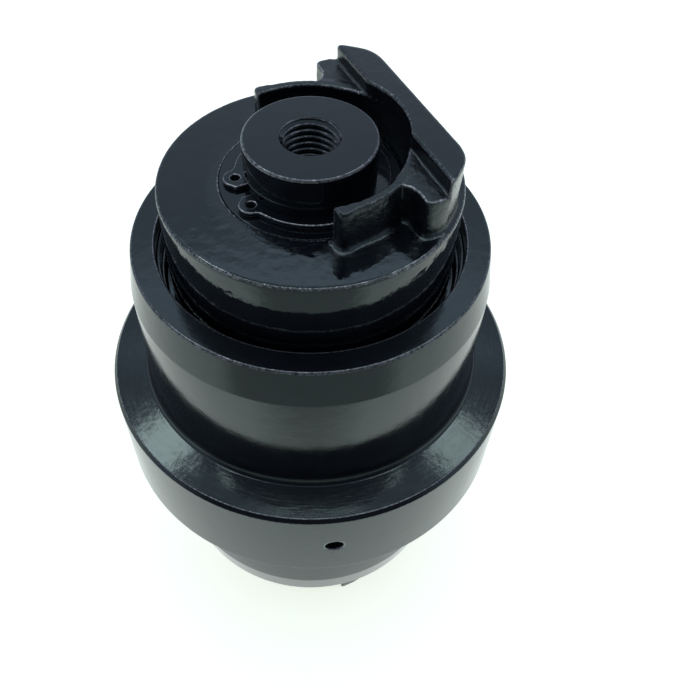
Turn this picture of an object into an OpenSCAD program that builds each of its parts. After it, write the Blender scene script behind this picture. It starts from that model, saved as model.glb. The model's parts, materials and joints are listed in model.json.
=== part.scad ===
// Track roller: a centre-flanged roller that turns on a fixed shaft between two end collars.
// The shaft axis is Z, the origin is the middle of the roller, and the upper collar's bar faces +X.
// Every profile is a list of [radius, height] points, with heights measured from the middle.

/* [Shaft] */
// Length of the shaft between its end faces
shaft_len = 255; // [252:1:260]
// Diameter of the shaft ends, which carry the collars
shaft_d = 45; // [44.6:0.1:45.4]
// Diameter of the journal between the collars, which runs in the bushes
journal_d = 50; // [49:0.5:51]
// Radius of the tapped hole's wall in each shaft end (M20 coarse thread)
thread_r = 8.75; // [8.5:0.05:9]
// Depth of the tapped hole's wall
thread_depth = 42; // [30:1:50]
// Radius of the countersunk mouth of the tapped hole
mouth_r = 10.25; // [9.5:0.05:11]
// Chamfer on each shaft end
shaft_chamfer = 1.2; // [0.5:0.1:2]

/* [Roller] */
// Length of the roller shell
roller_len = 173.4; // [172:0.2:176]
// Diameter of the two treads that run on the track chain
tread_d = 134; // [130:0.5:137]
// Diameter of the tread's outer end, after its tapered band
tread_end_d = 129.4; // [127:0.2:130]
// Length of the tapered band at each end of the roller
taper_len = 14.8; // [10:0.2:20]
// Diameter of the centre flange
flange_d = 165.8; // [160:0.2:172]
// Width of the centre flange over its two shoulders, at the rim
flange_w = 42.4; // [38:0.2:46]
// Radius of the recess that each collar dips into, at the mouth
recess_r = 56; // [55.4:0.1:57]
// Diameter of the oil plug's hole in the flange rim
plug_hole_d = 7.2; // [6:0.1:9]
// Direction of the oil plug around the roller, in degrees from +X
plug_angle = -107.2; // [-180:0.1:180]

/* [Bushes and seals] */
// Wall thickness of each bush
bush_wall = 4; // [3:0.25:4.5]
// Running clearance between the journal and the bush, on the radius
bush_gap = 0.05; // [0.02:0.01:0.1]
// Radius of the bush's thrust flange
bush_flange_r = 36; // [34:0.5:36.5]
// Thickness of a rubber seal ring's section
toric_d = 5.4; // [5:0.1:5.6]
// Thickness of the shaft seal's section
oring_d = 3.2; // [3:0.1:3.3]

/* [Collars] */
// Diameter of each collar
collar_d = 104.2; // [103:0.1:105]
// Distance from the shaft's end face back to the collar's face
collar_back = 16.3; // [15.5:0.1:17]
// Distance from the axis to the bar's outer flat
bar_out = 39.2; // [38:0.1:41]
// Distance from the axis to the bar's inner side
bar_in = 28; // [27:0.1:30]
// Height of the bar above the shaft's end face
bar_rise = 3.4; // [2:0.1:5]
// Depth of the ledge and the curved wall below the shaft's end face
ledge_drop = 2.2; // [1:0.1:4]
// Inner radius of the curved wall around the shaft end
guard_r = 32; // [31.2:0.1:33]
// Thickness of the curved wall at its top
guard_t = 3.3; // [2.5:0.1:4]
// How far the lower collar stands turned from the upper one, in degrees
lower_collar_turn = -39; // [-180:1:180]

/* [Hidden] */
$fn = 96;

paint = [0.10, 0.11, 0.13];
bare_steel = [0.62, 0.62, 0.64];
seal_iron = [0.45, 0.45, 0.47];
bronze = [0.72, 0.52, 0.27];
rubber = [0.07, 0.07, 0.07];

// Margin by which a cutting tool passes through a face
cut = 1;

// Shaft heights
shaft_end = shaft_len / 2;
shaft_r = shaft_d / 2;
journal_r = journal_d / 2;
journal_top = 61.2;
journal_relief = 0.8;
relief_half = 24;
mouth_depth = mouth_r - thread_r;
drill_point = 5;
scribe_depth = 0.3;
scribe_w = 0.8;
scribe_back = 10.5;

// Collar heights, going inwards from the face
face_z = shaft_end - collar_back;
bar_top = shaft_end + bar_rise;
ledge_top = shaft_end - ledge_drop;
collar_r = collar_d / 2;
collar_edge = 1.3;
bar_end_r = 49.9;
hub_r = 37;
hub_end = journal_top + 0.15;
hub_bore_r = shaft_r + 0.05;
skirt_end = 73.5;
cavity_top = 82.5;
guard_draft = 1.2;
guard_start = -6;
casting_sunk = 0.5;
casting_base = face_z - casting_sunk;
// Plan of the ledge on one side, from its inner nose round to the foot of the bar
pad_nose_x = 16.8;
pad_root_y = 18;
pad_outline = [[pad_nose_x, 27.5], [pad_nose_x, 30.6], [20.1, 34.4], [20.4, 40.4], [21.8, 41.8]];
pad_bar_y = 42.2;
pad_root_x = 23.5;

// Circlip, and the washer that lies flush in the collar's face under it
washer_r = 30.8;
washer_t = 2;
clip_gap = 0.05;
clip_t = 1.75;
clip_groove_w = 1.95;
clip_groove_low = face_z - 0.05;
clip_groove_r = 21.25;
clip_outer_r = 26.6;
clip_offset = 0.7;
clip_slot_half = 2.6;
lug_r = 4.2;
lug_hole_r = 1.6;
lug_at = 25.2;
lug_turn = 17;

// Roller heights, going outwards from the middle
roller_end = roller_len / 2;
tread_r = tread_d / 2;
tread_end_r = tread_end_d / 2;
flange_r = flange_d / 2;
shoulder_z = flange_w / 2;
chamber_r = 33;
chamber_half = 20;
bush_start = 26;
bush_seat_end = 57;
seal_floor = 61;
bush_bore_r = journal_r + bush_gap;
bush_r = bush_bore_r + bush_wall;
seat_r = 48.6;
seat_end = 69.5;
skirt_room_r = 54;
recess_step_r = 54.9;
recess_step_z = 75;
recess_mouth_z = 80.5;
roller_edge = 1.2;
fillet_r = 7.8;
fillet_turn = 42;
fillet_steps = 6;
fillet_start = 27.8;
rim_chamfer_r = 1.3;
rim_chamfer_z = 1.6;

// Floating seal: two lapped iron rings face to face, each held by a rubber toric
seal_face = 72;
seal_face_gap = 0.05;
ring_bore_r = 38.2;
ring_back_r = 41.4;
ring_waist_r = 42.2;
ring_face_r = 41;
ring_outer_r = 44.4;
ring_depth = 8;
ring_waist_depth = 4.4;
ring_rim = 1;
ring_face_relief = 0.8;
ring_relief_r = 39.4;
rubber_gap = 0.1;
toric_r = toric_d / 2;
toric_centre_r = seat_r - toric_r - rubber_gap;
toric_drop = 4.7;
oring_r = oring_d / 2;
oring_z = 97;
oring_room = 4.2;
oring_centre_r = hub_bore_r + oring_r + rubber_gap;
oring_groove_r = oring_centre_r + oring_r + rubber_gap;

// Oil plug
plug_depth = 3.2;
plug_len = 13;
plug_socket_af = 4;
plug_socket_depth = 5;
oilway_r = 2.2;

// Both ends of a profile that is given for the upper half only
function both_halves(half) = concat(half, [for (i = [len(half) - 1 : -1 : 0]) [half[i][0], -half[i][1]]]);

// The concave run from the tread into the flange's shoulder
function tread_fillet() = [
    for (i = [0 : fillet_steps])
    let (a = fillet_turn * i / fillet_steps)
    [tread_r + fillet_r * (1 - cos(a)), fillet_start - fillet_r * sin(a)]
];

function roller_half() = concat(
    [
        [chamber_r, chamber_half],
        [bush_r, bush_start],
        [bush_r, bush_seat_end],
        [bush_flange_r, bush_seat_end],
        [bush_flange_r, seal_floor],
        [seat_r, seal_floor],
        [seat_r, seat_end],
        [skirt_room_r, seat_end],
        [skirt_room_r, recess_step_z],
        [recess_step_r, recess_step_z],
        [recess_step_r, recess_mouth_z],
        [recess_r, recess_mouth_z],
        [recess_r, roller_end],
        [tread_end_r - roller_edge, roller_end],
        [tread_end_r, roller_end - roller_edge],
        [tread_r, roller_end - taper_len]
    ],
    tread_fillet(),
    [
        [flange_r - rim_chamfer_r, shoulder_z],
        [flange_r, shoulder_z - rim_chamfer_z]
    ]
);

module roller_shell() {
    color(paint)
    difference() {
        rotate_extrude() polygon(both_halves(roller_half()));
        rotate([0, 0, plug_angle])
        rotate([0, 90, 0]) {
            translate([0, 0, flange_r - plug_depth - plug_len])
            cylinder(h = plug_len + plug_depth + cut, d = plug_hole_d);
            translate([0, 0, chamber_r - cut]) cylinder(h = flange_r - chamber_r, r = oilway_r);
        }
    }
}

module fill_plug() {
    color(bare_steel)
    rotate([0, 0, plug_angle])
    rotate([0, 90, 0])
    translate([0, 0, flange_r - plug_depth - plug_len])
    difference() {
        cylinder(h = plug_len, d = plug_hole_d);
        translate([0, 0, plug_len - plug_socket_depth])
        cylinder(h = plug_socket_depth + cut, r = plug_socket_af / sqrt(3), $fn = 6);
    }
}

module bush() {
    color(bronze)
    rotate_extrude()
    polygon([
        [bush_bore_r, bush_start],
        [bush_r, bush_start],
        [bush_r, bush_seat_end],
        [bush_flange_r, bush_seat_end],
        [bush_flange_r, seal_floor],
        [bush_bore_r, seal_floor]
    ]);
}

module bush_upper() bush();

module bush_lower() mirror([0, 0, 1]) bush();

function shaft_half() = [
    [journal_r - journal_relief, relief_half],
    [journal_r, relief_half + journal_relief],
    [journal_r, journal_top],
    [shaft_r, journal_top],
    [shaft_r, clip_groove_low],
    [clip_groove_r, clip_groove_low],
    [clip_groove_r, clip_groove_low + clip_groove_w],
    [shaft_r, clip_groove_low + clip_groove_w],
    [shaft_r, shaft_end - scribe_back - scribe_w],
    [shaft_r - scribe_depth, shaft_end - scribe_back - scribe_w / 2],
    [shaft_r, shaft_end - scribe_back],
    [shaft_r, shaft_end - shaft_chamfer],
    [shaft_r - shaft_chamfer, shaft_end],
    [0, shaft_end]
];

module tapped_hole() {
    translate([0, 0, shaft_end - thread_depth]) cylinder(h = thread_depth + cut, r = thread_r);
    translate([0, 0, shaft_end - mouth_depth])
    cylinder(h = mouth_depth + cut, r1 = thread_r, r2 = mouth_r + cut);
    translate([0, 0, shaft_end - thread_depth - drill_point])
    cylinder(h = drill_point, r1 = 0, r2 = thread_r);
}

module shaft() {
    color(paint)
    difference() {
        rotate_extrude() polygon(both_halves(shaft_half()));
        tapped_hole();
        mirror([0, 0, 1]) tapped_hole();
    }
}

module collar_disc() {
    rotate_extrude()
    polygon([
        [hub_bore_r, hub_end],
        [hub_r, hub_end],
        [hub_r, cavity_top],
        [seat_r, cavity_top],
        [seat_r, skirt_end],
        [collar_r, skirt_end],
        [collar_r, face_z - collar_edge],
        [collar_r - collar_edge, face_z],
        [washer_r, face_z],
        [washer_r, face_z - washer_t],
        [hub_bore_r, face_z - washer_t],
        [hub_bore_r, oring_z + oring_room / 2],
        [oring_groove_r, oring_z + oring_room / 2],
        [oring_groove_r, oring_z - oring_room / 2],
        [hub_bore_r, oring_z - oring_room / 2]
    ]);
}

// The bar, with the ledge at its foot and the curved wall that guards the shaft end
module collar_bar() {
    height = bar_top - casting_base;
    difference() {
        intersection() {
            translate([0, 0, casting_base]) cylinder(h = height, r = bar_end_r);
            union() {
                translate([bar_in, -collar_r, casting_base]) cube([bar_out - bar_in, collar_d, height]);
                ledge_pads();
            }
        }
        translate([0, 0, casting_base - cut]) cylinder(h = height + 2 * cut, r = guard_r);
    }
}

module ledge_pads() {
    for (side = [0, 1])
    mirror([0, side, 0])
    translate([0, 0, casting_base])
    linear_extrude(height = ledge_top - casting_base)
    polygon(concat(
        pad_outline,
        [
            [bar_in + cut, pad_bar_y],
            [bar_in + cut, pad_root_y],
            [pad_root_x, pad_root_y]
        ]
    ));
}

module collar_guard() {
    height = ledge_top - casting_base;
    intersection() {
        difference() {
            translate([0, 0, casting_base])
            cylinder(h = height, r1 = guard_r + guard_t + guard_draft, r2 = guard_r + guard_t);
            translate([0, 0, casting_base - cut]) cylinder(h = height + 2 * cut, r = guard_r);
        }
        translate([guard_start, -collar_r, casting_base - cut]) cube([collar_r, collar_d, bar_top]);
    }
}

module collar() {
    color(paint)
    union() {
        collar_disc();
        collar_bar();
        collar_guard();
    }
}

module collar_upper() collar();

module lower_side() rotate([0, 0, lower_collar_turn]) mirror([0, 0, 1]) children();

module collar_lower() lower_side() collar();

module collar_washer() {
    color(paint)
    rotate_extrude()
    translate([hub_bore_r, face_z - washer_t])
    square([washer_r - hub_bore_r, washer_t]);
}

module collar_washer_upper() collar_washer();

module collar_washer_lower() mirror([0, 0, 1]) collar_washer();

// External retaining ring, open towards -X, with a plier hole in each lug
module circlip() {
    color(paint)
    translate([0, 0, face_z + clip_gap])
    difference() {
        union() {
            translate([clip_offset, 0, 0]) cylinder(h = clip_t, r = clip_outer_r);
            for (side = [-1, 1])
            rotate([0, 0, 180 + side * lug_turn])
            translate([lug_at, 0, 0])
            cylinder(h = clip_t, r = lug_r);
        }
        translate([0, 0, -cut]) cylinder(h = clip_t + 2 * cut, r = clip_groove_r);
        translate([-collar_r, -clip_slot_half, -cut]) cube([collar_r, 2 * clip_slot_half, clip_t + 2 * cut]);
        for (side = [-1, 1])
        rotate([0, 0, 180 + side * lug_turn])
        translate([lug_at, 0, -cut])
        cylinder(h = clip_t + 2 * cut, r = lug_hole_r);
    }
}

module circlip_upper() circlip();

module circlip_lower() lower_side() circlip();

module shaft_seal() {
    color(rubber)
    translate([0, 0, oring_z])
    rotate_extrude()
    translate([oring_centre_r, 0])
    circle(r = oring_r, $fn = 32);
}

module shaft_seal_upper() shaft_seal();

module shaft_seal_lower() mirror([0, 0, 1]) shaft_seal();

// A lapped seal ring that rises from its back to its face at height zero
module seal_ring() {
    color(seal_iron)
    rotate_extrude()
    polygon([
        [ring_bore_r, -ring_depth],
        [ring_back_r, -ring_depth],
        [ring_waist_r, -ring_waist_depth],
        [ring_outer_r, -ring_rim],
        [ring_outer_r, 0],
        [ring_face_r, 0],
        [ring_relief_r, -ring_face_relief],
        [ring_bore_r, -ring_face_relief]
    ]);
}

module roller_seal_ring_upper() translate([0, 0, seal_face]) seal_ring();

module roller_seal_ring_lower() mirror([0, 0, 1]) roller_seal_ring_upper();

module collar_seal_ring_upper() translate([0, 0, seal_face + seal_face_gap]) mirror([0, 0, 1]) seal_ring();

module collar_seal_ring_lower() mirror([0, 0, 1]) collar_seal_ring_upper();

module toric(z) {
    color(rubber)
    translate([0, 0, z])
    rotate_extrude()
    translate([toric_centre_r, 0])
    circle(r = toric_r, $fn = 32);
}

module roller_toric_upper() toric(seal_face - toric_drop);

module roller_toric_lower() toric(-seal_face + toric_drop);

module collar_toric_upper() toric(seal_face + seal_face_gap + toric_drop);

module collar_toric_lower() toric(-seal_face - seal_face_gap - toric_drop);

roller_shell();
fill_plug();
bush_upper();
bush_lower();
shaft();
collar_upper();
collar_lower();
collar_washer_upper();
collar_washer_lower();
circlip_upper();
circlip_lower();
shaft_seal_upper();
shaft_seal_lower();
roller_seal_ring_upper();
roller_seal_ring_lower();
collar_seal_ring_upper();
collar_seal_ring_lower();
roller_toric_upper();
roller_toric_lower();
collar_toric_upper();
collar_toric_lower();
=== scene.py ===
"""A painted track roller standing on end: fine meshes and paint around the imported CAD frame.

Lengths in this file are millimetres until a mesh is made, when they become metres. Heights are
measured from the middle of the roller, and every lathe profile is a list of
(radius, height, corner radius).
"""
import json
import math

import bmesh
import bpy
import numpy as np
from mathutils import Matrix, Vector, noise


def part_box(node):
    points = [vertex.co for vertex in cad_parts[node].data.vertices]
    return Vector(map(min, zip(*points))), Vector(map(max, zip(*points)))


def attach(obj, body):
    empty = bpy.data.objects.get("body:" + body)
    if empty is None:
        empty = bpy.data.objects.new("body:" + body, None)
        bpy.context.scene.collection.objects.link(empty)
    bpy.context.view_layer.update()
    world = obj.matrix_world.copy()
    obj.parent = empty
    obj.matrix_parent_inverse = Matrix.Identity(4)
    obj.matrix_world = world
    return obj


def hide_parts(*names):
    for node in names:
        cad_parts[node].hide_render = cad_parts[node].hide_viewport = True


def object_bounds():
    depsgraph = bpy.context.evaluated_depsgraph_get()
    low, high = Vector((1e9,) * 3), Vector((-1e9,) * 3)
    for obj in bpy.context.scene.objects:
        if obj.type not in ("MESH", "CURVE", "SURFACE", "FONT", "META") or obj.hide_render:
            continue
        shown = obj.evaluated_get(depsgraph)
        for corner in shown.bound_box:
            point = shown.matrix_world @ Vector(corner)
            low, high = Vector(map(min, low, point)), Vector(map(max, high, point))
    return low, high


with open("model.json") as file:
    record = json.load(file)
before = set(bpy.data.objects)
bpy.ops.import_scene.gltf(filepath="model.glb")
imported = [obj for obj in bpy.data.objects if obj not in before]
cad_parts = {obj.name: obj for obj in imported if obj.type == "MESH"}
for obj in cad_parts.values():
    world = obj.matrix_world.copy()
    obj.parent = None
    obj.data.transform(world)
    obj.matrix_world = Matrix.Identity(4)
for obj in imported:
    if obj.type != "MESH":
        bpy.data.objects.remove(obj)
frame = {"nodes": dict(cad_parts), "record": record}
CAD_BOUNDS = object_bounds()
MM = 0.001

# ---------------------------------------------------------------- sizes taken from the frame


def top_of(node):
    """The greatest height of a CAD node, in millimetres."""
    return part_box(node)[1][2] / MM


def reach_of(node):
    """The greatest reach of a CAD node along X, in millimetres."""
    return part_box(node)[1][0] / MM


SHAFT_END = top_of("shaft")
BAR_TOP = top_of("collar_upper")
ROLLER_END = top_of("roller_shell")
FLANGE_R = reach_of("roller_shell")
COLLAR_FACE = top_of("collar_washer_upper")
WASHER_R = reach_of("collar_washer_upper")
WASHER_DEPTH = (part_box("collar_washer_upper")[1][2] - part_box("collar_washer_upper")[0][2]) / MM
CLIP_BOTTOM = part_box("circlip_upper")[0][2] / MM
CLIP_TOP = top_of("circlip_upper")
HUB_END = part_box("collar_upper")[0][2] / MM
PLUG_MIDDLE = (Vector(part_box("fill_plug")[0]) + Vector(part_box("fill_plug")[1])) / 2
PLUG_ANGLE = math.atan2(PLUG_MIDDLE.y, PLUG_MIDDLE.x)
BAR_FLAT = {m["name"]: m for m in frame["record"]["mounts"]}["bar_flat_lower"]
LOWER_TURN = math.atan2(BAR_FLAT["axis"][1], BAR_FLAT["axis"][0])

# ---------------------------------------------------------------- mesh tools


def make_object(name, verts, faces):
    """A smooth-shaded object from points in millimetres."""
    mesh = bpy.data.meshes.new(name)
    mesh.from_pydata([tuple(p) for p in (np.asarray(verts) * MM).tolist()], [], faces)
    mesh.validate()
    mesh.polygons.foreach_set("use_smooth", [True] * len(mesh.polygons))
    mesh.update()
    obj = bpy.data.objects.new(name, mesh)
    bpy.context.scene.collection.objects.link(obj)
    return obj


def tidy_mesh(obj, weld=2e-6):
    """Welds touching points and turns all faces outwards."""
    bm = bmesh.new()
    bm.from_mesh(obj.data)
    bmesh.ops.remove_doubles(bm, verts=bm.verts, dist=weld)
    bmesh.ops.recalc_face_normals(bm, faces=bm.faces)
    bm.to_mesh(obj.data)
    bm.free()


def corner_arc(before, at, after, radius, turn_step=math.radians(11)):
    """Points of the arc that rounds a corner, shortened where its sides are too short for it."""
    a, p, b = (np.array(q[:2], float) for q in (before, at, after))
    u, v = a - p, b - p
    lu, lv = np.linalg.norm(u), np.linalg.norm(v)
    u, v = u / lu, v / lv
    half = math.acos(max(-1.0, min(1.0, float(u @ v)))) / 2
    if radius <= 0 or half > math.radians(89.5):
        return [tuple(p)]
    back = min(radius / math.tan(half), 0.48 * lu, 0.48 * lv)
    radius = back * math.tan(half)
    centre = p + (u + v) / np.linalg.norm(u + v) * radius / math.sin(half)
    start, end = p + u * back, p + v * back
    a0 = math.atan2(*(start - centre)[::-1])
    a1 = math.atan2(*(end - centre)[::-1])
    turn = (a1 - a0 + math.pi) % (2 * math.pi) - math.pi
    steps = max(2, math.ceil(abs(turn) / turn_step))
    angles = [a0 + turn * i / steps for i in range(steps + 1)]
    return [(centre[0] + radius * math.cos(t), centre[1] + radius * math.sin(t)) for t in angles]


def rounded_profile(corners, closed=True, guard=0.35, longest=4.0):
    """A profile with its corners rounded, a guard point beside each arc, and no long gaps."""
    n = len(corners)
    arcs = []
    for i, c in enumerate(corners):
        if not closed and i in (0, n - 1):
            arcs.append([tuple(c[:2])])
        else:
            arcs.append(corner_arc(corners[i - 1], c, corners[(i + 1) % n], c[2]))
    points = []
    for i in range(n if closed else n - 1):
        points += arcs[i]
        a, b = np.array(arcs[i][-1]), np.array(arcs[(i + 1) % n][0])
        length = np.linalg.norm(b - a)
        if length > 3 * guard:
            inner = length - 2 * guard
            cells = max(1, math.ceil(inner / longest))
            along = [guard + inner * k / cells for k in range(cells + 1)]
            points += [tuple(a + (b - a) * s / length) for s in along]
    if not closed:
        points += arcs[-1]
    return points


def lathe(name, points, segments, start=0.0, closed=True, radius_at=None):
    """Turns a profile about Z. radius_at(r, z, angle) may change a radius round the turn."""
    prof = np.array(points)
    angle = start + 2 * math.pi * np.arange(segments) / segments
    r = np.repeat(prof[None, :, 0], segments, 0)
    z = np.repeat(prof[None, :, 1], segments, 0)
    turn = np.repeat(angle[:, None], len(prof), 1)
    if radius_at:
        r = radius_at(r, z, turn)
    verts = np.stack([r * np.cos(turn), r * np.sin(turn), z], -1).reshape(-1, 3)
    n = len(prof)
    faces = []
    for i in range(segments):
        k = (i + 1) % segments
        for j in range(n if closed else n - 1):
            m = (j + 1) % n
            faces.append((i * n + j, k * n + j, k * n + m, i * n + m))
    obj = make_object(name, verts, faces)
    tidy_mesh(obj)
    return obj


def points_of(obj):
    """The points of a mesh, in millimetres."""
    place = np.empty(3 * len(obj.data.vertices))
    obj.data.vertices.foreach_get("co", place)
    return place.reshape(-1, 3) / MM


def roughen(obj, amount, size, seed=0, share=1.0):
    """Moves points along their normals by smooth noise, amount and size in millimetres."""
    mesh = obj.data
    place = np.empty(3 * len(mesh.vertices))
    normal = np.empty_like(place)
    mesh.vertices.foreach_get("co", place)
    mesh.vertex_normals.foreach_get("vector", normal)
    place, normal = place.reshape(-1, 3), normal.reshape(-1, 3)
    offset = Vector((seed * 7.3, seed * 3.1, seed * 5.7))
    height = [
        noise.noise(p + offset) + 0.5 * noise.noise(p * 2.5 - offset)
        for p in (Vector(q) for q in (place / (size * MM)).tolist())
    ]
    place += normal * (np.array(height) * share * amount * MM)[:, None]
    mesh.vertices.foreach_set("co", place.ravel())
    mesh.update()


def mark_wear_and_highlight_edges(obj, blunt=0.45, crisp=1.3):
    """Stores how sharply each point stands out, 0 to 1, for a lighter metal colour on edges that is
    partly paint wear and partly a painted highlight line.
    """
    mesh = obj.data
    place = points_of(obj)
    normal = np.empty(3 * len(place))
    mesh.vertex_normals.foreach_get("vector", normal)
    normal = normal.reshape(-1, 3)
    pairs = np.empty(2 * len(mesh.edges), np.int32)
    mesh.edges.foreach_get("vertices", pairs)
    a, b = pairs.reshape(-1, 2).T
    step = place[b] - place[a]
    bend = ((normal[b] - normal[a]) * step).sum(1) / np.maximum((step ** 2).sum(1), 0.01)
    sharpest = np.zeros(len(place))
    np.maximum.at(sharpest, a, bend)
    np.maximum.at(sharpest, b, bend)
    wear_and_highlight = np.clip((sharpest - blunt) / (crisp - blunt), 0, 1)
    mark = mesh.attributes.new("wear_and_highlight_edge", "FLOAT", "POINT")
    mark.data.foreach_set("value", wear_and_highlight)


def surface_nets(name, field, low, high, step, steps_back=2):
    """A quad mesh of the surface where field(x, y, z) is zero, negative inside."""
    axes = [np.arange(a, b + step, step) for a, b in zip(low, high)]
    grid = np.meshgrid(*axes, indexing="ij")
    value = field(*grid)
    inside = value < 0
    size = np.array(value.shape)
    count = np.zeros(size - 1, np.int8)
    offsets = [(i, j, k) for i in (0, 1) for j in (0, 1) for k in (0, 1)]
    for i, j, k in offsets:
        count += inside[i:size[0] - 1 + i, j:size[1] - 1 + j, k:size[2] - 1 + k]
    active = (count > 0) & (count < 8)
    cells = np.argwhere(active)
    index = np.full(active.shape, -1)
    index[active] = np.arange(len(cells))
    total = np.zeros((len(cells), 3))
    hits = np.zeros(len(cells))
    for axis in range(3):
        along = np.eye(3, dtype=int)[axis]
        for off in (np.array(o) for o in offsets if o[axis] == 0):
            a = value[tuple((cells + off).T)]
            b = value[tuple((cells + off + along).T)]
            cross = (a < 0) != (b < 0)
            t = np.where(cross, a / np.where(cross, a - b, 1), 0)
            total += np.where(cross[:, None], off + t[:, None] * along, 0)
            hits += cross
    verts = (cells + total / hits[:, None]) * step + np.array(low)
    for _ in range(steps_back):
        verts = onto_surface(verts, field)
    faces = []
    for axis in range(3):
        u, v = (axis + 1) % 3, (axis + 2) % 3
        first = np.moveaxis(inside, axis, 0)
        edge = np.moveaxis(first[:-1] != first[1:], 0, axis)
        at = np.argwhere(edge)
        at = at[(at[:, u] > 0) & (at[:, v] > 0)]
        eu, ev = np.eye(3, dtype=int)[u], np.eye(3, dtype=int)[v]
        quad = [index[tuple((at - d).T)] for d in (0 * eu, eu, eu + ev, ev)]
        flip = inside[tuple(at.T)]
        quad = np.stack(quad, 1)
        quad[~flip] = quad[~flip][:, ::-1]
        faces += quad.tolist()
    return make_object(name, verts, faces)


def onto_surface(verts, field, eps=0.02):
    """One Newton step of each point towards the surface of field."""
    here = field(*verts.T)
    slope = np.stack([
        (field(*(verts + eps * e).T) - field(*(verts - eps * e).T)) / (2 * eps) for e in np.eye(3)
    ], 1)
    norm2 = np.maximum((slope ** 2).sum(1), 0.2)
    move = -(here / norm2)[:, None] * slope
    return verts + np.clip(move, -0.4, 0.4)


# Distance fields join with these: k is about the radius of the rounded or filled corner.


def blend_min(a, b, k):
    h = np.maximum(k - np.abs(a - b), 0)
    return np.minimum(a, b) - h * h / (4 * k)


def blend_max(a, b, k):
    return -blend_min(-a, -b, k)


def turned_copy(obj, name, turn):
    """The same piece at the other end: turned over about X, then turned about Z."""
    mesh = obj.data.copy()
    over = Matrix.Rotation(turn, 4, "Z") @ Matrix.Rotation(math.pi, 4, "X")
    mesh.transform(over)
    mesh.update()
    other = bpy.data.objects.new(name, mesh)
    bpy.context.scene.collection.objects.link(other)
    return other


# ---------------------------------------------------------------- materials

SMEAR_MM = 9
PAINT_DARK = (0.0034, 0.0041, 0.0060)
PAINT_LIGHT = (0.0060, 0.0071, 0.0096)
GLOSS_TINT = (0.76, 1.0, 0.98, 1)
# Edge colour and gloss: partly paint wear, partly painted highlight lines along sharp edges.
WEAR_HIGHLIGHT_FROM = 0.27
WEAR_HIGHLIGHT_TO = 0.57
WEAR_HIGHLIGHT_COLOUR = (0.26, 0.27, 0.28)
WEAR_HIGHLIGHT_ROUGHNESS = 0.36
SCUFF_ROUGHNESS = 0.16
CAST_PIT_MM = 0.17
TURNED_RING_MM = 0.01


class Nodes:
    """A short way to add and link the nodes of one material."""

    def __init__(self, name):
        self.material = bpy.data.materials.new(name)
        self.material.use_nodes = True
        self.tree = self.material.node_tree
        self.shader = self.tree.nodes["Principled BSDF"]
        self.coord = self.add("ShaderNodeTexCoord").outputs["Object"]

    def add(self, kind, **settings):
        node = self.tree.nodes.new(kind)
        for key, value in settings.items():
            setattr(node, key, value)
        return node

    def link(self, out, socket):
        self.tree.links.new(out, socket)

    def noise(self, size_mm, detail=2.0, rough=0.5, stretch=(1, 1, 1)):
        """A noise whose features are about size_mm across, 0 to 1."""
        mapping = self.add("ShaderNodeMapping")
        mapping.inputs["Scale"].default_value = stretch
        self.link(self.coord, mapping.inputs["Vector"])
        node = self.add("ShaderNodeTexNoise")
        node.inputs["Scale"].default_value = 1.0 / (size_mm * MM)
        node.inputs["Detail"].default_value = detail
        node.inputs["Roughness"].default_value = rough
        self.link(mapping.outputs["Vector"], node.inputs["Vector"])
        return node.outputs["Fac"]

    def ramp(self, fac, stops):
        """A colour ramp from (place, grey or colour) stops."""
        node = self.add("ShaderNodeValToRGB")
        elements = node.color_ramp.elements
        while len(elements) < len(stops):
            elements.new(0.5)
        for element, (place, colour) in zip(elements, stops):
            element.position = place
            element.color = (*colour, 1) if isinstance(colour, tuple) else (colour,) * 3 + (1,)
        self.link(fac, node.inputs["Fac"])
        return node.outputs["Color"]

    def math(self, operation, a, b):
        node = self.add("ShaderNodeMath", operation=operation)
        for socket, value in zip(node.inputs, (a, b)):
            if isinstance(value, (int, float)):
                socket.default_value = value
            else:
                self.link(value, socket)
        return node.outputs["Value"]

    def mix(self, share, start, end):
        """A value or colour that goes from the output start to the number or colour end."""
        coloured = isinstance(end, tuple)
        node = self.add("ShaderNodeMix", data_type="RGBA" if coloured else "FLOAT")
        first = 6 if coloured else 2
        self.link(share, node.inputs[0])
        self.link(start, node.inputs[first])
        node.inputs[first + 1].default_value = (*end, 1) if coloured else end
        return node.outputs[2 if coloured else 0]

    def attribute(self, name):
        return self.add("ShaderNodeAttribute", attribute_name=name).outputs["Fac"]

    def radius(self):
        """The distance from the shaft's axis, in millimetres."""
        flat = self.add("ShaderNodeVectorMath", operation="MULTIPLY")
        flat.inputs[1].default_value = (1 / MM, 1 / MM, 0)
        self.link(self.coord, flat.inputs[0])
        length = self.add("ShaderNodeVectorMath", operation="LENGTH")
        self.link(flat.outputs["Vector"], length.inputs[0])
        return length.outputs["Value"]

    def wave_noise(self, along_mm, size_mm):
        """A noise that changes only along one measure, such as the radius, plus slow smearing."""
        split = self.add("ShaderNodeSeparateXYZ")
        self.link(self.coord, split.inputs["Vector"])
        joined = self.add("ShaderNodeCombineXYZ")
        self.link(self.math("DIVIDE", along_mm, size_mm), joined.inputs["X"])
        self.link(self.math("DIVIDE", split.outputs["X"], SMEAR_MM * MM), joined.inputs["Y"])
        self.link(self.math("DIVIDE", split.outputs["Y"], SMEAR_MM * MM), joined.inputs["Z"])
        node = self.add("ShaderNodeTexNoise")
        node.inputs["Scale"].default_value = 1.0
        node.inputs["Detail"].default_value = 3
        self.link(joined.outputs["Vector"], node.inputs["Vector"])
        return node.outputs["Fac"]

    def bump(self, height, distance_mm, normal=None):
        node = self.add("ShaderNodeBump")
        node.inputs["Strength"].default_value = 1.0
        node.inputs["Distance"].default_value = distance_mm * MM
        self.link(height, node.inputs["Height"])
        if normal is not None:
            self.link(normal, node.inputs["Normal"])
        return node.outputs["Normal"]


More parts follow.
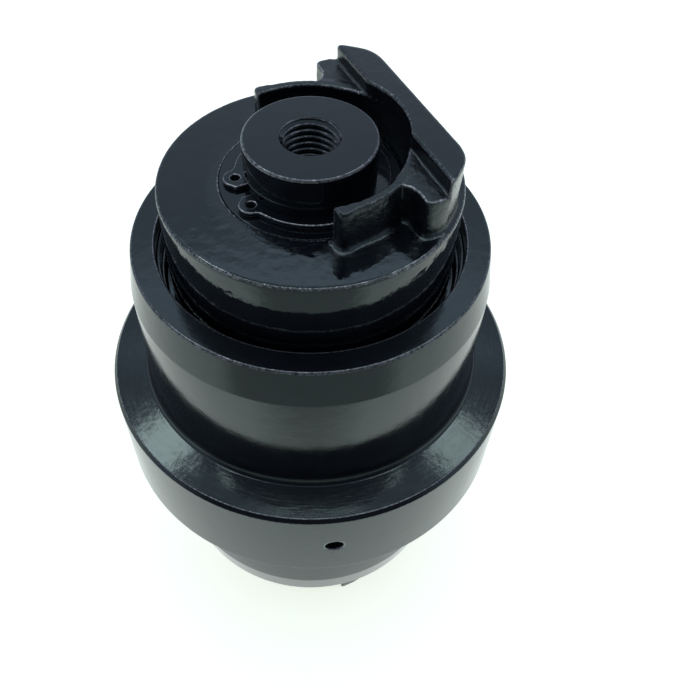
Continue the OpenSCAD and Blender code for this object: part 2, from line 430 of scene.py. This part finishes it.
def gloss_paint(name, roughness=(0.045, 0.095), peel_mm=0.030, streaks=0.0, cast=False):
    """Blue-black gloss paint with orange peel, and a lighter metal colour on sharp edges that is
    partly paint wear and partly a painted highlight line.

    streaks is the depth of lathe streaks in millimetres, and cast adds a casting's grain.
    """
    n = Nodes(name)
    # Lighter bare-metal colour on sharp edges: partly paint wear, partly painted highlight lines
    # along the edges.
    wear_and_highlight = n.math("MULTIPLY", n.attribute("wear_and_highlight_edge"), n.noise(1.0, detail=3, rough=0.7))
    wear_and_highlight = n.ramp(wear_and_highlight, [(WEAR_HIGHLIGHT_FROM, 0.0), (WEAR_HIGHLIGHT_TO, 1.0)])
    n.link(wear_and_highlight, n.shader.inputs["Metallic"])
    tone = n.noise(9, detail=4, rough=0.6)
    colour = n.ramp(tone, [(0.30, PAINT_DARK), (0.75, PAINT_LIGHT)])
    n.link(n.mix(wear_and_highlight, colour, WEAR_HIGHLIGHT_COLOUR), n.shader.inputs["Base Color"])
    smear = n.noise(4, detail=5, rough=0.65)
    rough = n.ramp(smear, [(0.30, roughness[0]), (0.80, roughness[1])])
    surface = n.bump(n.noise(5.0, detail=1.0), peel_mm * 1.8)
    surface = n.bump(n.noise(1.6, detail=1.5), peel_mm * 0.8, normal=surface)
    if streaks:
        radial = n.radius()
        lines = n.wave_noise(radial, 0.9)
        surface = n.bump(lines, streaks, normal=surface)
        scuffed = n.math("MULTIPLY", n.wave_noise(radial, 0.5), SCUFF_ROUGHNESS)
        rough = n.math("ADD", rough, scuffed)
    if cast:
        pits = n.math("MULTIPLY", n.noise(0.9, detail=3, rough=0.65), n.attribute("cast_grain"))
        surface = n.bump(pits, CAST_PIT_MM, normal=surface)
    n.link(n.mix(wear_and_highlight, rough, WEAR_HIGHLIGHT_ROUGHNESS), n.shader.inputs["Roughness"])
    n.link(surface, n.shader.inputs["Normal"])
    n.shader.inputs["IOR"].default_value = 1.5
    n.shader.inputs["Specular IOR Level"].default_value = 0.5
    n.shader.inputs["Specular Tint"].default_value = GLOSS_TINT
    return n.material


def turned_metal(name, dark, light, roughness):
    """Bare turned metal with fine lathe rings and stains."""
    n = Nodes(name)
    n.link(n.ramp(n.noise(6, detail=5, rough=0.65), [(0.3, dark), (0.75, light)]),
           n.shader.inputs["Base Color"])
    n.shader.inputs["Metallic"].default_value = 1.0
    rings = n.noise(0.5, detail=2, stretch=(0.02, 0.02, 1))
    n.link(n.ramp(n.noise(3, detail=4), [(0.3, roughness[0]), (0.8, roughness[1])]),
           n.shader.inputs["Roughness"])
    n.link(n.bump(rings, TURNED_RING_MM), n.shader.inputs["Normal"])
    return n.material


def seal_rubber(name):
    """Matt black rubber with a faint moulded grain and bloom."""
    n = Nodes(name)
    black, bloom = (0.010, 0.010, 0.011), (0.030, 0.030, 0.031)
    n.link(n.ramp(n.noise(5, detail=5), [(0.3, black), (0.8, bloom)]), n.shader.inputs["Base Color"])
    n.link(n.ramp(n.noise(2, detail=3), [(0.3, 0.55), (0.8, 0.75)]), n.shader.inputs["Roughness"])
    n.link(n.bump(n.noise(0.4, detail=2), 0.02), n.shader.inputs["Normal"])
    return n.material


PAINT = gloss_paint("roller_gloss_paint", roughness=(0.03, 0.07), peel_mm=0.024, streaks=0.022)
CAST_PAINT = gloss_paint("collar_gloss_paint", cast=True)
SHAFT_PAINT = gloss_paint("shaft_gloss_paint", roughness=(0.05, 0.11), peel_mm=0.022)
BRONZE = turned_metal("bush_bronze", (0.42, 0.26, 0.10), (0.62, 0.42, 0.20), (0.22, 0.38))
SEAL_IRON = turned_metal("lapped_seal_iron", (0.20, 0.20, 0.21), (0.40, 0.40, 0.41), (0.18, 0.42))
RUBBER = seal_rubber("seal_rubber")


def finish_piece(obj, material, body, node):
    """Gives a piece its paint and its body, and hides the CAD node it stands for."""
    # Marks sharp edges for the lighter edge colour: partly paint wear, partly painted highlight.
    if "wear_and_highlight_edge" not in obj.data.attributes:
        mark_wear_and_highlight_edges(obj)
    obj.data.materials.clear()
    obj.data.materials.append(material)
    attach(obj, body)
    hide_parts(node)


# ---------------------------------------------------------------- roller shell

TREAD_R = 67.0
TREAD_END_R = 64.7
TAPER = 14.8
RECESS_R = 56.0
CHAMBER_R = 33.0
CHAMBER_END = 20.0
BUSH_SEAT_R = 29.05
BUSH_SEAT_START = 26.0
BUSH_RIM_R = 36.0
BUSH_RIM_START = 57.0
BUSH_RIM_END = 61.0
SEAL_SEAT_R = 48.6
SEAL_SEAT_END = 69.5
COLLAR_ROOM_R = 54.0
COLLAR_ROOM_END = 75.0
MOUTH_STEP_R = 54.9
MOUTH_STEP_END = 80.5
SHOULDER_Z = 21.2
FILLET_R = 7.8
FILLET_START = 27.8
FILLET_TURN = 42.0
FILLET_STEPS = 10
RIM_CHAMFER_R = 1.3
RIM_CHAMFER_Z = 1.6
ROLLER_SEGMENTS = 360
RIM_CELL = 2 * math.pi * FLANGE_R / ROLLER_SEGMENTS
RIM_RINGS = 12
PLUG_HOLE_R = 3.6
PLUG_HOLE_LIP = 0.45
PLUG_HOLE_DEPTH = 16.2
OIL_WAY_R = 2.2
PATCH_CELLS = 4


def tread_fillet():
    """The hollow run from the tread into the shoulder, ending in a crisp line."""
    turns = [math.radians(FILLET_TURN) * k / FILLET_STEPS for k in range(FILLET_STEPS + 1)]
    arc = [
        (TREAD_R + FILLET_R * (1 - math.cos(a)), FILLET_START - FILLET_R * math.sin(a), 0.0)
        for a in turns
    ]
    return arc[:-1] + [(*arc[-1][:2], 0.8)]


def roller_corners():
    """The upper half of the shell's outline, from the oil chamber round to the flange rim."""
    return [
        (CHAMBER_R, CHAMBER_END, 1.0),
        (BUSH_SEAT_R, BUSH_SEAT_START, 0.5),
        (BUSH_SEAT_R, BUSH_RIM_START, 0.2),
        (BUSH_RIM_R, BUSH_RIM_START, 0.2),
        (BUSH_RIM_R, BUSH_RIM_END, 0.4),
        (SEAL_SEAT_R, BUSH_RIM_END, 0.8),
        (SEAL_SEAT_R, SEAL_SEAT_END, 0.8),
        (COLLAR_ROOM_R, SEAL_SEAT_END, 0.8),
        (COLLAR_ROOM_R, COLLAR_ROOM_END, 0.5),
        (MOUTH_STEP_R, COLLAR_ROOM_END, 0.3),
        (MOUTH_STEP_R, MOUTH_STEP_END, 0.3),
        (RECESS_R, MOUTH_STEP_END, 0.4),
        (RECESS_R, ROLLER_END, 0.7),
        (TREAD_END_R, ROLLER_END, 0.95),
        (TREAD_R, ROLLER_END - TAPER, 2.5),
        *tread_fillet(),
        (FLANGE_R - RIM_CHAMFER_R, SHOULDER_Z, 0.5),
        (FLANGE_R, SHOULDER_Z - RIM_CHAMFER_Z, 0.4),
    ]


def build_roller():
    """The shell, with evenly spaced rings on the rim for the plug's hole to sit in."""
    half = roller_corners()
    rim = [(FLANGE_R, RIM_CELL * k, 0.0) for k in range(RIM_RINGS, -RIM_RINGS - 1, -1)]
    corners = half + rim + [(r, -z, c) for r, z, c in reversed(half)]
    points = rounded_profile(corners)
    obj = lathe("roller_shell_body", points, ROLLER_SEGMENTS, start=PLUG_ANGLE)
    cut_plug_hole(obj)
    return obj


def cut_plug_hole(obj):
    """Replaces a square patch of the rim's cells with a ring of cells round the plug's hole."""
    def rim_point(across, z):
        turn = PLUG_ANGLE + across / FLANGE_R
        return Vector((FLANGE_R * math.cos(turn), FLANGE_R * math.sin(turn), z)) * MM

    bm = bmesh.new()
    bm.from_mesh(obj.data)
    half = PATCH_CELLS * RIM_CELL
    middle = rim_point(0, 0)
    reach = half * MM * 1.6
    near = {}
    inner = []
    for v in bm.verts:
        if (v.co - middle).length > reach or abs(v.co.xy.length - FLANGE_R * MM) > 1e-5:
            continue
        across = (math.atan2(v.co.y, v.co.x) - PLUG_ANGLE + math.pi) % (2 * math.pi) - math.pi
        i = round(across * FLANGE_R / RIM_CELL)
        k = round(v.co.z / MM / RIM_CELL)
        size = max(abs(i), abs(k))
        if size == PATCH_CELLS:
            near[i, k] = v
        elif size < PATCH_CELLS:
            inner.append(v)
    bmesh.ops.delete(bm, geom=inner, context="VERTS")
    c = PATCH_CELLS
    walk = [(i, -c) for i in range(-c, c)] + [(c, k) for k in range(-c, c)]
    walk += [(-i, -k) for i, k in walk]
    outer = [near[p] for p in walk]
    # (radius of the ring, share of the way from square to circle, depth below the rim)
    lip = PLUG_HOLE_LIP
    rings = [(None, 0.35, 0), (None, 0.7, 0), (PLUG_HOLE_R + lip, 1, 0)]
    rings += [(PLUG_HOLE_R + lip * (1 - math.sin(a)), 1, lip * (1 - math.cos(a)))
              for a in np.radians([20, 40, 65, 90])]
    rings += [(PLUG_HOLE_R, 1, d) for d in (1.5, 4, 8, 12, PLUG_HOLE_DEPTH)]
    rings += [(OIL_WAY_R, 1, d) for d in (PLUG_HOLE_DEPTH + 0.2, 30, FLANGE_R - CHAMBER_R + 0.3)]
    previous = outer
    for radius, share, depth in rings:
        ring = []
        for i, k in walk:
            angle = math.atan2(k, i)
            target = radius or PLUG_HOLE_R + lip
            across = (1 - share) * i * RIM_CELL + share * target * math.cos(angle)
            up = (1 - share) * k * RIM_CELL + share * target * math.sin(angle)
            if depth > 0 or radius:
                ring.append(bm.verts.new(sunk_point(across, up, depth)))
            else:
                ring.append(bm.verts.new(rim_point(across, up)))
        for a in range(len(ring)):
            b = (a + 1) % len(ring)
            bm.faces.new((previous[a], previous[b], ring[b], ring[a]))
        previous = ring
    bm.faces.new(previous)
    bmesh.ops.recalc_face_normals(bm, faces=bm.faces)
    for f in bm.faces:
        f.smooth = True
    bm.to_mesh(obj.data)
    bm.free()


def sunk_point(across, up, depth):
    """A point on the plug hole's own straight cylinder, depth below the rim."""
    out = math.sqrt(FLANGE_R ** 2 - across ** 2) - depth
    c, s = math.cos(PLUG_ANGLE), math.sin(PLUG_ANGLE)
    return Vector((out * c - across * s, out * s + across * c, up)) * MM


def build_plug():
    """The oil plug, turned about its own axis, with a hexagon socket."""
    length = 13.0
    sunk = 3.2
    half_flats = 2.0
    socket_depth = 5
    body_r = PLUG_HOLE_R - 0.02

    def hexagon(r, z, turn):
        socket = half_flats / np.cos((turn + math.pi / 6) % (math.pi / 3) - math.pi / 6)
        return np.where(r == half_flats, socket, r)

    corners = [
        (0, 0, 0), (body_r, 0, 0.4), (body_r, length, 0.5), (half_flats, length, 0),
        (half_flats, length - socket_depth, 0), (0, length - socket_depth - 0.8, 0),
    ]
    points = rounded_profile(corners, closed=False, guard=0.2, longest=1.5)
    obj = lathe("fill_plug_body", points, 72, closed=False, radius_at=hexagon)
    c, s = math.cos(PLUG_ANGLE), math.sin(PLUG_ANGLE)
    for v in obj.data.vertices:
        along = v.co.z + (FLANGE_R - sunk - length) * MM
        across, up = v.co.x, v.co.y
        v.co = (along * c - across * s, along * s + across * c, up)
    tidy_mesh(obj)
    return obj


# ---------------------------------------------------------------- shaft

SHAFT_R = 22.5
JOURNAL_R = 25.0
JOURNAL_END = 61.2
WAIST_R = 24.2
WAIST_END = 24.0
THREAD_MINOR = 8.65
THREAD_MAJOR = 10.05
THREAD_PITCH = 2.5
MOUTH_R = 10.3
THREAD_ROOT_FLAT = 0.12
THREAD_FLANK = 0.74
THREAD_RUNOUT = 4
HOLE_DEPTH = 42.0
DRILL_POINT_DEPTH = 5
CLIP_GROOVE_R = 21.25
CLIP_GROOVE_WIDTH = 1.95
SCRIBE_BACK = 10.5
SCRIBE_DEPTH = 0.3
SCRIBE_WIDTH = 0.7


def thread_radius(r, z, turn):
    """Cuts a right-hand V thread where a profile point lies on the tapped hole's wall."""
    height = np.abs(z)
    hand = np.sign(z)
    phase = (height / THREAD_PITCH - hand * turn / (2 * math.pi)) % 1.0
    away = np.abs(phase - 0.5) * 2
    ridge = np.clip((away - THREAD_ROOT_FLAT) / THREAD_FLANK, 0, 1)
    cut = THREAD_MAJOR - (THREAD_MAJOR - THREAD_MINOR) * ridge
    fade = np.clip((height - (SHAFT_END - HOLE_DEPTH)) / THREAD_RUNOUT, 0, 1)
    cut = THREAD_MINOR + (cut - THREAD_MINOR) * fade
    in_mouth = (r > THREAD_MINOR) & (r < MOUTH_R)
    return np.where(r == THREAD_MINOR, cut, np.where(in_mouth, np.maximum(r, cut), r))


def shaft_half():
    """The shaft's upper half, from the drill point in its end round to the middle."""
    mouth_depth = MOUTH_R - THREAD_MINOR
    wall_low, wall_high = SHAFT_END - HOLE_DEPTH, SHAFT_END - mouth_depth
    rings = round((wall_high - wall_low) / (THREAD_PITCH / 10))
    wall = [(THREAD_MINOR, wall_low + (wall_high - wall_low) * k / rings) for k in range(rings + 1)]
    groove_low = CLIP_BOTTOM - 0.1
    groove_high = groove_low + CLIP_GROOVE_WIDTH
    scribe = SHAFT_END - SCRIBE_BACK
    outside = [
        (MOUTH_R, SHAFT_END, 0.25),
        (SHAFT_R, SHAFT_END, 0.9),
        (SHAFT_R, scribe, 0.15),
        (SHAFT_R - SCRIBE_DEPTH, scribe - SCRIBE_WIDTH / 2, 0.1),
        (SHAFT_R, scribe - SCRIBE_WIDTH, 0.15),
        (SHAFT_R, groove_high, 0.15),
        (CLIP_GROOVE_R, groove_high, 0.15),
        (CLIP_GROOVE_R, groove_low, 0.15),
        (SHAFT_R, groove_low, 0.15),
        (SHAFT_R, JOURNAL_END, 0.4),
        (JOURNAL_R, JOURNAL_END, 0.5),
        (JOURNAL_R, WAIST_END + 0.8, 0.3),
        (WAIST_R, WAIST_END, 0.3),
        (WAIST_R, 0, 0),
    ]
    mouth = [
        (THREAD_MINOR + mouth_depth * k / 9, wall_high + mouth_depth * k / 9, 0) for k in range(9)
    ]
    rest = rounded_profile(mouth + outside, closed=False)
    tip = wall_low - DRILL_POINT_DEPTH
    cone = [(THREAD_MINOR * k / 6, tip + DRILL_POINT_DEPTH * k / 6) for k in range(6)]
    return cone + wall + rest[1:]


def build_shaft():
    half = shaft_half()
    points = half + [(r, -z) for r, z in reversed(half[:-1])]
    return lathe("shaft_body", points, 240, closed=False, radius_at=thread_radius)


# ---------------------------------------------------------------- collars

COLLAR_R = 52.1
BAR_OUT = 39.2
BAR_IN = 28.0
BAR_END_R = 50.3
BAR_END_R_AT = 20
LEDGE_TOP = SHAFT_END - 2.2
GUARD_R = 32.0
GUARD_T = 3.3
GUARD_START = -6.2
GUARD_FLARE = 2.8
GUARD_FLARE_START = 3
GUARD_FLARE_LENGTH = 9
GUARD_DRAFT = 0.07
GUARD_END_ROUND = 4.5
BAR_END_LEAN = 0.03
BAR_END_ROUND = 3.5
BAR_INNER_ROUND = (2.2, 0.9)
TOP_ROUND = 1.1
EDGE_ROUND = 0.8
ROOT_FILL = 1.8
ROOT_DEPTH = 3
PAD_SLOPE = (0.75, 0.66)
PAD_NOSE_X = 16.8
PAD_NOSE_Y = 30.6
PAD_LOBE_X = 20.2
PAD_SIDE_Y = 42.2
HUB_R = 37.0
HUB_BELOW_FACE = 5
WASHER_GAP = 0.12
SEAT_R = 48.6
SKIRT_END = 73.5
CAVITY_TOP = 82.5
BORE_R = 22.55
COLLAR_STEP = 0.65
GRAIN_REACH = 7.0


def pad_field(x, y, z):
    """The ledge at the foot of the bar: a nose beside the guard, then a lobe out to the rim."""
    side = np.abs(y)
    slope = (side - PAD_NOSE_Y) * PAD_SLOPE[1] - (x - PAD_NOSE_X) * PAD_SLOPE[0]
    field = blend_max(PAD_NOSE_X - x, blend_min(PAD_LOBE_X - x, slope, 1.5), 1.0)
    field = blend_max(field, side - PAD_SIDE_Y, 2.4)
    return blend_max(np.maximum(field, x - BAR_IN - 2), z - LEDGE_TOP, 0.7)


def casting_field(x, y, z):
    """The cast parts that stand on the collar's face: the bar, its ledge and the guard."""
    r = np.hypot(x, y)
    below = COLLAR_FACE - z
    end = r - BAR_END_R + BAR_END_LEAN * (below + BAR_END_R_AT)
    inner_round = np.where(y > 0, *BAR_INNER_ROUND)
    bar = blend_max(blend_max(x - BAR_OUT, end, BAR_END_ROUND), BAR_IN - x, inner_round)
    bar = blend_max(bar, GUARD_R - r, EDGE_ROUND)
    bar = blend_max(bar, z - BAR_TOP, TOP_ROUND)
    pad = blend_max(pad_field(x, y, z), end, 1.6)
    pad = blend_max(pad, GUARD_R - r, EDGE_ROUND)
    draft = GUARD_DRAFT * (LEDGE_TOP - z)
    flare = GUARD_FLARE * np.clip((GUARD_FLARE_START - x) / GUARD_FLARE_LENGTH, 0, 1) ** 2
    guard = blend_max(r - GUARD_R - GUARD_T - draft - flare, GUARD_START - x, GUARD_END_ROUND)
    guard = blend_max(guard, GUARD_R - r, 0.5)
    guard = blend_max(guard, z - LEDGE_TOP, TOP_ROUND)
    return blend_min(blend_min(bar, pad, 0.6), guard, 1.0)


def collar_field(x, y, z):
    """The whole collar: disc, hub and seal cavity, with the castings on its face."""
    r = np.hypot(x, y)
    casting = np.maximum(casting_field(x, y, z), COLLAR_FACE - ROOT_DEPTH - z)
    disc = blend_max(r - COLLAR_R, z - COLLAR_FACE, 1.0)
    body = blend_min(disc, casting, ROOT_FILL)
    body = np.maximum(body, SKIRT_END - z)
    body = np.maximum(body, -np.maximum(np.maximum(HUB_R - r, r - SEAT_R), z - CAVITY_TOP))
    hub = np.maximum(np.maximum(r - HUB_R, HUB_END - z), z - COLLAR_FACE + HUB_BELOW_FACE)
    body = np.minimum(body, hub)
    body = np.maximum(body, BORE_R - r)
    recess = np.maximum(r - WASHER_R - WASHER_GAP, COLLAR_FACE - WASHER_DEPTH - z)
    return np.maximum(body, -recess)


def build_collar():
    """The upper collar, with a cast grain round the castings and round the washer."""
    reach = COLLAR_R + 1.3
    low = (-reach, -reach, HUB_END - 1.1)
    high = (reach, reach, BAR_TOP + 1.3)
    obj = surface_nets("collar_upper_body", collar_field, low, high, COLLAR_STEP)
    # Marks sharp edges for the lighter edge colour: partly paint wear, partly painted highlight.
    mark_wear_and_highlight_edges(obj)
    place = points_of(obj)
    grain = 1 - np.clip(casting_field(*place.T) / GRAIN_REACH, 0, 1)
    grain *= np.clip((place[:, 2] - COLLAR_FACE + 1.5) / 1.5, 0, 1)
    grain *= np.where(place[:, 2] > BAR_TOP - 0.8, 0.35, 1)
    from_washer = np.hypot(place[:, 0], place[:, 1]) - WASHER_R
    near_washer = np.clip(1 - from_washer / GRAIN_REACH, 0, 1) * (place[:, 2] > COLLAR_FACE - 0.3)
    grain = np.maximum(grain, 0.8 * near_washer)
    roughen(obj, 0.03, 3.5, seed=1)
    roughen(obj, 0.10, 1.6, seed=2, share=grain)
    mark = obj.data.attributes.new("cast_grain", "FLOAT", "POINT")
    mark.data.foreach_set("value", grain)
    return obj


def build_washer():
    """The flush washer, with a broken edge that leaves the joint line round it."""
    low = COLLAR_FACE - WASHER_DEPTH
    corners = [
        (BORE_R, low, 0.1), (WASHER_R, low, 0.1),
        (WASHER_R, COLLAR_FACE, 0.16), (BORE_R, COLLAR_FACE, 0.3),
    ]
    return lathe("collar_washer_upper_body", rounded_profile(corners), 180)


# ---------------------------------------------------------------- circlips

CLIP_OUTER_R = 26.6
CLIP_OFFSET = 0.7
CLIP_SLOT_HALF = 2.6
LUG_AT = 25.2
LUG_TURN = math.radians(17)
LUG_R = 4.2
LUG_HOLE_R = 1.6
CLIP_STEP = 0.28


def circlip_field(x, y, z):
    """An external retaining ring, open towards -X."""
    side = np.abs(y)
    lug_x, lug_y = -LUG_AT * math.cos(LUG_TURN), LUG_AT * math.sin(LUG_TURN)
    lug = np.hypot(x - lug_x, side - lug_y)
    plan = blend_min(np.hypot(x - CLIP_OFFSET, y) - CLIP_OUTER_R, lug - LUG_R, 1.5)
    plan = np.maximum(plan, CLIP_GROOVE_R - np.hypot(x, y))
    plan = blend_max(plan, -np.maximum(side - CLIP_SLOT_HALF, x), 0.5)
    plan = np.maximum(plan, LUG_HOLE_R - lug)
    flat = np.abs(z - (CLIP_BOTTOM + CLIP_TOP) / 2) - (CLIP_TOP - CLIP_BOTTOM) / 2
    return blend_max(plan, flat, 0.45)


def build_circlip():
    reach = LUG_AT + LUG_R + 1
    low = (-reach, -reach, CLIP_BOTTOM - 2 * CLIP_STEP)
    high = (CLIP_OUTER_R + CLIP_OFFSET + 1, reach, CLIP_TOP + 2 * CLIP_STEP)
    return surface_nets("circlip_upper_body", circlip_field, low, high, CLIP_STEP)


# ---------------------------------------------------------------- assembly

roller = build_roller()
finish_piece(roller, PAINT, "roller", "roller_shell")

plug = build_plug()
finish_piece(plug, PAINT, "roller", "fill_plug")

shaft = build_shaft()
finish_piece(shaft, SHAFT_PAINT, "axle", "shaft")

collar = build_collar()
washer = build_washer()
circlip = build_circlip()
lower_collar = turned_copy(collar, "collar_lower_body", LOWER_TURN)
lower_washer = turned_copy(washer, "collar_washer_lower_body", LOWER_TURN)
lower_circlip = turned_copy(circlip, "circlip_lower_body", LOWER_TURN)
finish_piece(collar, CAST_PAINT, "upper_collar_set", "collar_upper")
finish_piece(lower_collar, CAST_PAINT, "lower_collar_set", "collar_lower")
finish_piece(washer, CAST_PAINT, "upper_collar_set", "collar_washer_upper")
finish_piece(lower_washer, CAST_PAINT, "lower_collar_set", "collar_washer_lower")
finish_piece(circlip, SHAFT_PAINT, "axle", "circlip_upper")
finish_piece(lower_circlip, SHAFT_PAINT, "axle", "circlip_lower")

for name, node in frame["nodes"].items():
    if name.startswith("bush"):
        material = BRONZE
    elif "seal_ring" in name:
        material = SEAL_IRON
    elif "toric" in name or "shaft_seal" in name:
        material = RUBBER
    else:
        continue
    node.data.materials.clear()
    node.data.materials.append(material)

# ---------------------------------------------------------------- floor, light and camera

CAMERA_TURN = math.radians(-113.6)
CAMERA_AWAY = 208.5
CAMERA_ABOVE_SHAFT = 153.2
CAMERA_DOWN = 0.8955
SENSOR_WIDTH = 36
LENS = 40.0937
LENS_SHIFT = (0.056714, -0.007571)
FLOOR_COLOUR = (0.93, 0.92, 0.89, 1)
FLOOR_GLOW = (0.93, 1.0, 0.84, 1)
FLOOR_GLOW_STRENGTH = 0.74
SKY_COLOUR = (0.90, 1.0, 1.26)
GROUND_COLOUR = (0.96, 1.05, 1.02)
# Each fade: where along the direction's axis it starts and ends, and the brightness at each.
SKY_FORWARD = (0.36, 0.75, 0.60, 0.08)
GROUND_FORWARD = (0.42, 0.60, 1.05, 0.48)
HORIZON = (-0.03, 0.03, 0.0, 1.0)
BAND_BOTTOM = (0.67, 0.73, 0.0, 0.62)
BAND_TOP = (0.74, 0.82, 1.0, 0.0)
BAND_BEHIND = (-0.62, -0.54, 1.0, 0.0)
# Soft panels: degrees round from straight behind, degrees up, width and depth in metres, watts.
PANELS = ((43, 60, 0.44, 0.22, 2.0), (-42, 60, 0.44, 0.22, 1.4), (0, 86, 1.3, 0.12, 4.5))
PANEL_AWAY = 1.6


def add_floor():
    """A plain white floor under the lower bar. Reflections see the surround instead of it."""
    size = 6.0
    z = CAD_BOUNDS[0][2]
    mesh = bpy.data.meshes.new("floor")
    corners = [(-size, -size, z), (size, -size, z), (size, size, z), (-size, size, z)]
    mesh.from_pydata(corners, [], [(0, 1, 2, 3)])
    floor = bpy.data.objects.new("floor", mesh)
    bpy.context.scene.collection.objects.link(floor)
    floor.visible_glossy = False
    n = Nodes("floor_white")
    n.shader.inputs["Base Color"].default_value = FLOOR_COLOUR
    n.shader.inputs["Roughness"].default_value = 0.9
    n.shader.inputs["Specular IOR Level"].default_value = 0.0
    n.shader.inputs["Emission Color"].default_value = FLOOR_GLOW
    n.shader.inputs["Emission Strength"].default_value = FLOOR_GLOW_STRENGTH
    mesh.materials.append(n.material)


def add_surround():
    """A pale surround, dimmer in front, with a lighter band high behind the part.

    It shows in the gloss. The camera itself sees a plain white backdrop.
    """
    world = bpy.data.worlds.new("white_surround")
    bpy.context.scene.world = world
    world.use_nodes = True
    tree = world.node_tree
    coord = tree.nodes.new("ShaderNodeTexCoord").outputs["Generated"]
    forward = tree.nodes.new("ShaderNodeVectorMath")
    forward.operation = "DOT_PRODUCT"
    forward.inputs[1].default_value = (math.cos(CAMERA_TURN), math.sin(CAMERA_TURN), 0)
    tree.links.new(coord, forward.inputs[0])
    split = tree.nodes.new("ShaderNodeSeparateXYZ")
    tree.links.new(coord, split.inputs["Vector"])

    def fade(out, stops):
        node = tree.nodes.new("ShaderNodeMapRange")
        node.interpolation_type = "SMOOTHSTEP"
        for name, value in zip(("From Min", "From Max", "To Min", "To Max"), stops):
            node.inputs[name].default_value = value
        tree.links.new(out, node.inputs["Value"])
        return node.outputs["Result"]

    def combine(operation, a, b):
        node = tree.nodes.new("ShaderNodeMath")
        node.operation = operation
        tree.links.new(a, node.inputs[0])
        tree.links.new(b, node.inputs[1])
        return node.outputs["Value"]

    def background(colour, strength):
        node = tree.nodes.new("ShaderNodeBackground")
        node.inputs["Color"].default_value = (*colour, 1)
        tree.links.new(strength, node.inputs["Strength"])
        return node.outputs["Background"]

    up, ahead = split.outputs["Z"], forward.outputs["Value"]
    band = combine("MULTIPLY", fade(up, BAND_BOTTOM), fade(up, BAND_TOP))
    band = combine("MULTIPLY", band, fade(ahead, BAND_BEHIND))
    sky = background(SKY_COLOUR, combine("ADD", fade(ahead, SKY_FORWARD), band))
    ground = background(GROUND_COLOUR, fade(ahead, GROUND_FORWARD))
    join = tree.nodes.new("ShaderNodeMixShader")
    tree.links.new(fade(up, HORIZON), join.inputs[0])
    tree.links.new(ground, join.inputs[1])
    tree.links.new(sky, join.inputs[2])
    backdrop = tree.nodes["Background"]
    backdrop.inputs["Color"].default_value = (1, 1, 1, 1)
    backdrop.inputs["Strength"].default_value = 1.0
    seen = tree.nodes.new("ShaderNodeMixShader")
    path = tree.nodes.new("ShaderNodeLightPath")
    tree.links.new(path.outputs["Is Camera Ray"], seen.inputs[0])
    tree.links.new(join.outputs["Shader"], seen.inputs[1])
    tree.links.new(backdrop.outputs["Background"], seen.inputs[2])
    tree.links.new(seen.outputs["Shader"], tree.nodes["World Output"].inputs["Surface"])


def add_lamps():
    """Soft panels that shine at the part and show only in its gloss."""
    for number, (side, up, width, depth, watts) in enumerate(PANELS, 1):
        name = f"soft_panel_{number}"
        panel = bpy.data.lights.new(name, "AREA")
        panel.shape = "RECTANGLE"
        panel.size, panel.size_y = width, depth
        panel.energy = watts
        lamp = bpy.data.objects.new(name, panel)
        bpy.context.scene.collection.objects.link(lamp)
        turn = CAMERA_TURN + math.pi + math.radians(side)
        flat = PANEL_AWAY * math.cos(math.radians(up))
        height = PANEL_AWAY * math.sin(math.radians(up))
        lamp.location = (flat * math.cos(turn), flat * math.sin(turn), height)
        lamp.rotation_euler = Vector(lamp.location).to_track_quat("Z", "Y").to_euler()
        lamp.visible_diffuse = False


def add_camera():
    """A camera above and in front, 24 degrees round from the side that faces the bar's end."""
    data = bpy.data.cameras.new("camera")
    camera = bpy.data.objects.new("camera", data)
    bpy.context.scene.collection.objects.link(camera)
    side = Vector((math.cos(CAMERA_TURN), math.sin(CAMERA_TURN), 0)) * CAMERA_AWAY
    camera.location = (side + Vector((0, 0, SHAFT_END + CAMERA_ABOVE_SHAFT))) * MM
    camera.rotation_euler = (math.pi / 2 - CAMERA_DOWN, 0, CAMERA_TURN + math.pi / 2)
    data.sensor_width = SENSOR_WIDTH
    data.lens = LENS
    data.shift_x, data.shift_y = LENS_SHIFT
    data.clip_start = 0.01
    data.clip_end = 30
    bpy.context.scene.camera = camera


add_floor()
add_surround()
add_lamps()
add_camera()
bpy.context.scene.view_settings.view_transform = "Standard"
